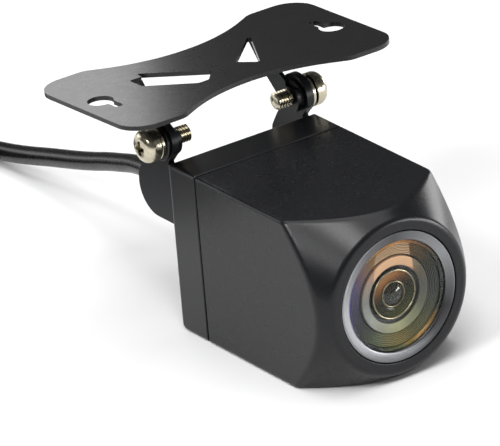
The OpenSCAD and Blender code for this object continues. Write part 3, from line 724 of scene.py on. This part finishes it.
lens_part("window_gasket", [
    (7.45, 0.95), (7.45, 0.72), (7.5, 0.66), (7.9, 0.66), (7.95, 0.7), (7.95, 0.95)],
    gasket_mat, "black_rubber", "glass_seal", steps=192)
ridges = []
for i in range(RIDGES):
    width = RIDGE_PITCH
    r0 = RIDGE_OUTER - width * i
    d = 0.98 + 0.36 * i / RIDGES
    ridges += [(r0, d + 0.12), (r0 - width * 0.14, d + 0.02), (r0 - width * 0.22, d),
               (r0 - width * 0.55, d), (r0 - width * 0.63, d + 0.02), (r0 - width * 0.76, d + 0.14)]
lens_part("ridged_ring", [(7.7, 1.6), (7.7, 1.1), (7.45, 1.1)] + ridges
          + [(RIDGE_INNER, 1.45), (RIDGE_INNER, 1.6)],
          baffle_mat, "black_metal", "baffle_ring", steps=256)
lens_part("lens_ring", [
    (4.2, 1.6), (4.2, 1.2), (4.25, 1.13), (4.35, 1.1), (5.0, 1.04), (5.4, 1.0), (5.48, 1.02),
    (5.52, 1.1), (5.52, 1.6)], retainer_mat, "black_metal", "lens_retainer", steps=256)
lens_part("lens_tube", [
    (3.62, 5.0), (3.62, 1.66), (3.9, 1.62), (4.3, 1.5), (5.5, 1.62), (5.5, 3.9), (6.4, 3.9), (6.4, 4.9),
    (5.5, 4.9), (5.5, 12), (3, 12), (3, 5)], lens_black_mat, "black_metal", "lens_barrel", steps=160)
lens_part("lens_rim", [
    (3.34, 1.24), (3.38, 1.17), (3.46, 1.14), (3.54, 1.17), (3.58, 1.24), (3.58, 2.0), (3.34, 2.0)],
    rim_mat, "black_metal", steps=192)
cup = [(3.34, 1.3), (3.1, 1.27), (2.8, 1.26), (2.5, 1.29), (2.2, 1.36), (2.0, 1.44), (1.94, 1.46)]
dome_radius, dome_edge = 2.25, 1.68
dome_top = 0.74
sweep = math.asin(dome_edge / dome_radius)
dome = [(dome_radius * math.sin(t), dome_top + dome_radius * (1 - math.cos(t)))
        for t in np.linspace(0, sweep, 20)]
lens_part("outer_glass", [(1.9, 1.9)] + cup[::-1] + [(3.34, 1.9)], lens_mat, "lens_glass", "front_lens",
          steps=192)
lens_part("dome_glass", dome + [(dome_edge, 1.9), (0, 1.9)], dome_mat, "lens_glass", steps=160)
lens_part("dome_rim", [
    (1.7, 1.9), (1.7, 1.36), (1.74, 1.3), (1.8, 1.28), (1.86, 1.31), (1.9, 1.38), (1.9, 1.9)],
    rim_mat, "black_metal", steps=160)

# ---------------------------------------------------------------- rear bracket

SHEET, BRACKET_X, EAR_X, PLATE_T = 1.0, 10.85, 9.8, 0.65
pivot_d = pivot_y - front_y


def circle(cx, cy, r, steps=56):
    return [(cx + r * math.cos(2 * math.pi * k / steps), cy + r * math.sin(2 * math.pi * k / steps))
            for k in range(steps)]


def side_place(x):
    """Local x is depth from the front face, local y is up and local z is +X."""
    return Matrix(((0, 0, 1, x), (1, 0, 0, front_y), (0, 1, 0, 0), (0, 0, 0, 1)))


back_d, low_z = BODY_D + 9.0, 15.5
flange_outline = rounded([
    [BODY_D + 0.02, low_z, 0.1], [back_d, low_z, 4.2], [back_d - 0.4, 21, 1.2], [back_d - 1.7, 23, 1.5],
    [pivot_d + 3.1, 25.6, 1.2], [pivot_d + 3.1, pivot_z + 3.1, 3.05],
    [pivot_d - 3.1, pivot_z + 3.1, 3.05], [pivot_d - 3.1, 26.6, 1], [BODY_D + 1.1, 24.4, 0.3],
    [BODY_D + 0.02, 24.4, 0]], 14)
web_outline = rounded([[-11.7, 7, 2], [11.7, 7, 2], [11.7, 24.4, 0.2], [-11.7, 24.4, 0.2]], 8)
for label, x in (("left", -BRACKET_X - SHEET), ("right", BRACKET_X)):
    sheet_piece(f"bracket_flange_{label}",
                               [flange_outline, circle(pivot_d, pivot_z, 1.33)],
                               SHEET, "camera", bracket_mat, side_place(x), 0.14)
web_place = Matrix(((1, 0, 0, 0), (0, 0, 1, back_y), (0, 1, 0, 0), (0, 0, 0, 1)))
sheet_piece("bracket_web", [web_outline, circle(0, axis_z, 4.2, 80)]
                           + [circle(sx * REAR_SCREW, axis_z - REAR_SCREW, 1.1, 32) for sx in (-1, 1)]
                           + [circle(sx * REAR_SCREW, axis_z + REAR_SCREW, 1.0, 32) for sx in (-1, 1)],
                           SHEET, "camera", bracket_mat, web_place, 0.14)
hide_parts("rear_bracket")

# ---------------------------------------------------------------- mounting plate

PLATE_RISE, PLATE_SHIFT, LEAN = 7.45, 2.0, math.radians(3)
hinge_frame = Matrix.Translation((0, pivot_y, pivot_z)) @ Matrix.Rotation(-LEAN, 4, "X")
plate_under = PLATE_RISE - PLATE_T
plate_edge = rounded([
    [22.4, 12.7, 4.2], [14, 12.7, 3], [0, 4.6, 23], [-14, 12.7, 3], [-22.4, 12.7, 4.2],
    [-22.4, -12.7, 4.2], [-14, -12.7, 3], [0, -4.6, 23], [14, -12.7, 3], [22.4, -12.7, 4.2]], 20)


def keyhole(turn):
    """Round hole with a slot, drawn at the plate's left end and turned about its middle."""
    r, half, middle, length = 1.85, 0.62, 0.7, 4.0
    left, right = middle - half, middle + half
    start, end = (math.atan2(-math.sqrt(r * r - right * right), right),
                  math.atan2(-math.sqrt(r * r - left * left), left))
    sweep = 2 * math.pi - (start - end)
    round_part = [(r * math.cos(start + sweep * k / 60), r * math.sin(start + sweep * k / 60))
                  for k in range(61)]
    slot_end = [(middle + half * math.cos(a), -length + half + half * math.sin(a))
                for a in np.linspace(math.pi, 2 * math.pi, 16)]
    c, s_ = math.cos(turn), math.sin(turn)
    return [((x - 18.9) * c - (y + 0.9) * s_, (x - 18.9) * s_ + (y + 0.9) * c)
            for x, y in round_part + slot_end]


left_window = rounded([[-2, -1.6, 0.45], [-EAR_X, 5.8, 0.3], [-EAR_X, 4.2, 0.15], [-11.9, 4.2, 0.4],
                       [-11.9, 1, 0.6], [-6, -4.3, 0.8], [-4.3, -4.3, 0.45]], 10)
right_window = rounded([[2, -1.6, 0.45], [4.35, -4.35, 0.45], [EAR_X, 6.3, 0.3]], 10)


plate_place = hinge_frame @ Matrix.Translation((0, PLATE_SHIFT, plate_under))
plate = sheet_piece("plate_sheet", [plate_edge, keyhole(0), keyhole(math.pi), left_window,
                                    right_window],
                    PLATE_T, "mount", plate_mat, plate_place, 0.16, 4)
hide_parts("mount_plate")


def ear_outline():
    """Round end about the hinge pin with a neck that leans back up to the plate."""
    r = 2.35
    around = [(r * math.cos(a), r * math.sin(a))
              for a in np.linspace(math.radians(142), math.radians(308), 48)]
    neck = rounded([[2.2, -0.9, 0.5], [6.2, 2.95, 1.4], [9.3, plate_under + 0.1, 0.1],
                    [6.1, plate_under + 0.1, 0.1], [4.4, 4.7, 1.4], [0.2, 2.0, 0.6]], 10)
    return around + [tuple(p) for p in neck]


ear_frame = hinge_frame @ Matrix(((0, 0, 1, 0), (1, 0, 0, 0), (0, 1, 0, 0), (0, 0, 0, 1)))
for label, x in (("left", -EAR_X - PLATE_T), ("right", EAR_X)):
    ear = sheet_piece(f"plate_ear_{label}", [ear_outline(), circle(0, 0, 1.24)], PLATE_T, "mount",
                      bracket_mat,
                      ear_frame @ Matrix.Translation((0, 0, x)), 0.1)
    if label == "left":
        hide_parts("plate_ears")

# ---------------------------------------------------------------- hinge screws and washers


def recess_cutters(at, depth, width, place):
    """Tapered cross of a driver recess: two wedges."""
    made = []
    for turn in (0, math.pi / 2):
        w, t = width / 2, width * 0.12
        verts = [(-w, -t, 1), (w, -t, 1), (w, t, 1), (-w, t, 1),
                 (-w * 0.4, -t * 0.7, -depth), (w * 0.4, -t * 0.7, -depth), (w * 0.4, t * 0.7, -depth),
                 (-w * 0.4, t * 0.7, -depth)]
        c, s_ = math.cos(turn), math.sin(turn)
        verts = [((x * c - y * s_) * MM, (x * s_ + y * c) * MM, (z + at) * MM) for x, y, z in verts]
        mesh = bpy.data.meshes.new("cutter")
        mesh.from_pydata(verts, [], [(3, 2, 1, 0), (4, 5, 6, 7), (0, 1, 5, 4), (1, 2, 6, 5),
                                     (2, 3, 7, 6), (3, 0, 4, 7)])
        face_outwards(mesh)
        cutter = bpy.data.objects.new("cutter", mesh)
        put(cutter, place)
        made.append(cutter)
    return made


def screw(name, shank, head, recess, body, material, slot, place, *replaced):
    """Shank profile, then a domed head, all along local Z, with a cross recess cut in."""
    made = lathe(name, shank + head, body, material, place, 72)
    at, depth, width = recess
    carve(made, recess_cutters(at, depth, width, place))
    made.data.shade_smooth()
    made.data.set_sharp_from_angle(angle=math.radians(32))
    if replaced:
        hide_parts(*replaced)
    return made


def pan_head(r, base, height):
    """Rim, side and dome of a pan head."""
    return [(r - 0.08, base), (r, base + 0.1), (r, base + height * 0.38)] + [
        (r * math.cos(t) ** 0.62, base + height * (0.38 + 0.62 * math.sin(t)))
        for t in np.linspace(0.12, math.pi / 2 - 0.04, 12)] + [(0, base + height)]


def hinge_place(side):
    """Local Z points outwards from the middle of the hinge."""
    return Matrix.Translation((0, pivot_y, pivot_z)) @ Matrix.Rotation(math.radians(90 * side), 4, "Y")


HEAD_X, HEAD_R, HEAD_H = 13.15, 2.45, 2.3
TIP_X, THREAD_END, THREAD_PITCH = 7.3, 9.7, 0.45
thread = [(0, TIP_X), (0.85, TIP_X)]
z = 7.5
while z < THREAD_END:
    thread += [(1.02, z - 0.12), (1.25, z), (1.25, z + 0.06), (1.02, z + 0.2)]
    z += THREAD_PITCH
thread += [(1.2, z), (1.2, HEAD_X)]
for label, side in (("left", -1), ("right", 1)):
    screw(f"hinge_screw_{label}", thread, pan_head(HEAD_R, HEAD_X, HEAD_H), (HEAD_X + HEAD_H, 1.4, 2.9),
          "mount", nickel_mat,
          "screw_steel", hinge_place(side), *(["pivot_screws"] if side < 0 else []))
    flat = lathe(f"hinge_flat_washer_{label}", [
        (1.32, 11.9), (2.6, 11.9), (2.7, 11.97), (2.7, 12.26), (2.62, 12.35), (1.32, 12.35)], "mount",
        black_steel_mat, hinge_place(side), 96)
    spring_verts, spring_faces = [], []
    turns = 88
    for k in range(turns + 1):
        a = math.radians(200 + 342 * k / turns)
        lift = 0.16 * k / turns
        for r, h in ((1.34, 0.0), (2.22, 0.0), (2.3, 0.07), (2.3, 0.5), (2.22, 0.57), (1.34, 0.57)):
            spring_verts.append((r * math.cos(a), r * math.sin(a), 12.38 + lift + h))
    for k in range(turns):
        for j in range(6):
            a, b = k * 6 + j, k * 6 + (j + 1) % 6
            spring_faces.append((a, b, b + 6, a + 6))
    spring_faces += [tuple(range(5, -1, -1)), tuple(turns * 6 + j for j in range(6))]
    spring = piece(f"hinge_spring_washer_{label}", spring_verts, spring_faces, "mount", nickel_mat, 30,
                   hinge_place(side))
    if side < 0:
        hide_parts("flat_washers")
        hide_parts("spring_washers")

# Case screws at the back: two in the cover and two through the bracket
for label, base, up, node in (("cover", BODY_D, -REAR_SCREW, "cover_screws"),
                              ("bracket", BODY_D + SHEET, REAR_SCREW, "bracket_screws")):
    for side, sx in (("left", -REAR_SCREW), ("right", REAR_SCREW)):
        place = (Matrix.Translation((sx, front_y, axis_z + up))
                 @ Matrix.Rotation(math.radians(-90), 4, "X"))
        screw(f"{label}_screw_{side}", [(0, 22.2), (0.6, 22.2), (0.9, 22.8), (0.9, base)],
              pan_head(1.9, base, 1.2),
              (base + 1.2, 0.8, 2.1), "camera", nickel_mat, "screw_steel", place,
              *([node] if sx < 0 else []))

# ---------------------------------------------------------------- strain relief and connector

taper_start, taper_end = BODY_D + 1.8, 25.5 - front_y
relief = [(CABLE_D / 2, BODY_D - 2.7), (4.4, BODY_D - 2.7), (4.4, BODY_D - WALL), (2.95, BODY_D - WALL),
          (2.95, BODY_D + 0.02), (3.75, BODY_D + 0.02), (3.9, BODY_D + 0.15), (3.9, taper_start - 0.25),
          (3.78, taper_start - 0.06), (3.0, taper_start)]
for i in range(5):
    for dz, dr in ((0.0, 0), (0.06, -0.12), (0.12, -0.3), (0.3, -0.36), (0.48, -0.34), (0.6, -0.2),
                   (0.68, -0.05), (0.74, 0)):
        d = taper_start + 1.4 + 2.2 * i + dz
        relief.append((3 - 1.1 * (d - taper_start) / (taper_end - taper_start) + dr, d))
relief += [(1.92, taper_end - 0.2), (1.8, taper_end - 0.02), (1.7, taper_end), (CABLE_D / 2, taper_end)]
lens_part("strain_relief", relief, rubber_mat, "black_rubber", "cable_gland", steps=96)

connector_start = 76.0
connector_place = (Matrix.Translation((connector_x, connector_start, connector_z))
                   @ Matrix.Rotation(math.radians(90), 4, "X"))


GRIP_R = 5.3  # only what is further out than this has flutes


def fluted(profile, flutes, depth, from_z, to_z, steps=216, sharp=3.0):
    """Turned profile whose rows between from_z and to_z have flutes."""
    verts, faces = turned(profile, steps)
    done = []
    for x, y, z in verts:
        r = math.hypot(x, y)
        if r > GRIP_R and from_z <= z <= to_z:
            wave = max(0.0, math.cos(flutes * math.atan2(y, x))) ** sharp
            fade = min(1, (z - from_z) / 0.5, (to_z - z) / 0.5)
            x, y = x * (1 - depth * wave * fade / r), y * (1 - depth * wave * fade / r)
        done.append((x, y, z))
    return done, faces


cable_boot = [(0, 0), (1.85, 0), (1.9, 0.06)]
for i in range(5):
    for dz, dr in ((0.0, 0), (0.08, -0.14), (0.16, -0.32), (0.4, -0.36), (0.64, -0.3), (0.8, -0.12),
                   (0.88, 0)):
        d = 2 + i * 2.1 + dz
        cable_boot.append((1.9 + 0.18 * d + dr, d))
cable_boot += [(4.35, 13.6), (4.4, 13.8), (4.4, 14), (0, 14)]
boot = piece("lead_boot", *turned(cable_boot, 96), "camera", rubber_mat, 30, connector_place)
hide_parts("connector_boot")
grip = rounded([[0, 14, 0], [4.6, 14, 0.2], [6, 15.5, 0.5], [6, 26, 0.4], [3.9, 26, 0], [3.9, 29.1, 0],
                [4.6, 29.1, 0.1], [4.6, 30.1, 0.1], [3.9, 30.1, 0], [3.9, 36, 0.2], [3.1, 36, 0.15],
                [3.1, 30, 0], [0, 30, 0]], 5)
grip = [tuple(p) for p in grip]
at = max(i for i, p in enumerate(grip) if p[0] > 5.99 and p[1] < 17)
grip[at + 1:at + 1] = [(6, z) for z in np.linspace(16.5, 25.3, 16)]
plug_body = piece("plug_body", *fluted(grip, 12, 0.5, 16.6, 24.8), "camera", plastic_mat, 32,
                  connector_place)
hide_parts("connector_body")
nut_profile = [tuple(p) for p in rounded([[3.96, 26.1, 0], [5.65, 26.1, 0.4], [5.65, 37, 0.4],
                                          [4.95, 37, 0.1], [4.95, 28.9, 0], [3.96, 28.9, 0]], 5)]
at = max(i for i, p in enumerate(nut_profile) if p[0] > 5.64 and p[1] < 27)
nut_profile[at + 1:at + 1] = [(5.65, z) for z in np.linspace(26.7, 36.3, 16)]
nut = piece("plug_nut", *fluted(nut_profile, 18, 0.28, 26.9, 36.1, 324, 1.5), "coupling_nut",
            plastic_mat, 32,
            connector_place)
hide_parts("connector_nut")

# ---------------------------------------------------------------- floor and lights

floor_mesh = bpy.data.meshes.new("floor")
floor_mesh.from_pydata([(-6, -6, 0), (6, -6, 0), (6, 6, 0), (-6, 6, 0)], [], [(0, 1, 2, 3)])
floor = bpy.data.objects.new("floor", floor_mesh)
bpy.context.scene.collection.objects.link(floor)
floor_shade = Shade("floor_paper")
floor_shade.colour(floor_shade.ramp(floor_shade.noise(60, 3), [(0.3, 0.84), (0.7, 0.86)]))
floor_shade.shader.inputs["Roughness"].default_value = 0.85
floor.data.materials.append(floor_shade.material)


def soft_light(name, towards, distance, size, power, target=(0, 0, 0.015)):
    """Area light off a target point, aimed back at it. Distance and size are in metres."""
    light = bpy.data.lights.new(name, "AREA")
    light.shape = "RECTANGLE"
    light.size, light.size_y = size
    light.energy = power
    obj = bpy.data.objects.new(name, light)
    bpy.context.scene.collection.objects.link(obj)
    way = Vector(towards).normalized()
    obj.location = Vector(target) + way * distance
    obj.rotation_mode = "QUATERNION"
    obj.rotation_quaternion = way.to_track_quat("Z", "Y")
    obj.visible_camera = False


soft_light("key_left", (-0.72, -0.22, 0.66), 1.0, (0.3, 0.3), 5)
soft_light("rim_right", (0.98, 0.22, 0.10), 0.9, (0.34, 0.2), 1.1)
soft_light("front_top", (-0.28, -0.44, 0.86), 0.9, (0.3, 0.3), 2.8)
soft_light("back_left", (-0.44, 0.80, 0.34), 0.5, (0.26, 0.3), 0.6, target=(0, 0.06, 0.006))
soft_light("front_right", (0.76, -0.65, 0.08), 0.5, (0.34, 0.09), 1.3)
soft_light("overhead", (0.05, 0.0, 1.0), 1.4, (1.5, 1.5), 14.5)
soft_light("plate_glow", (0.497, 0.806, 0.322), 0.11, (0.04, 0.04), 0.015,
           target=(-0.037, 0.012, 0.035))

bpy.context.scene.view_settings.view_transform = "Standard"
world = bpy.data.worlds.new("studio")
bpy.context.scene.world = world
world.use_nodes = True
world.node_tree.nodes["Background"].inputs["Color"].default_value = (1, 1, 1, 1)
world.node_tree.nodes["Background"].inputs["Strength"].default_value = 0.12
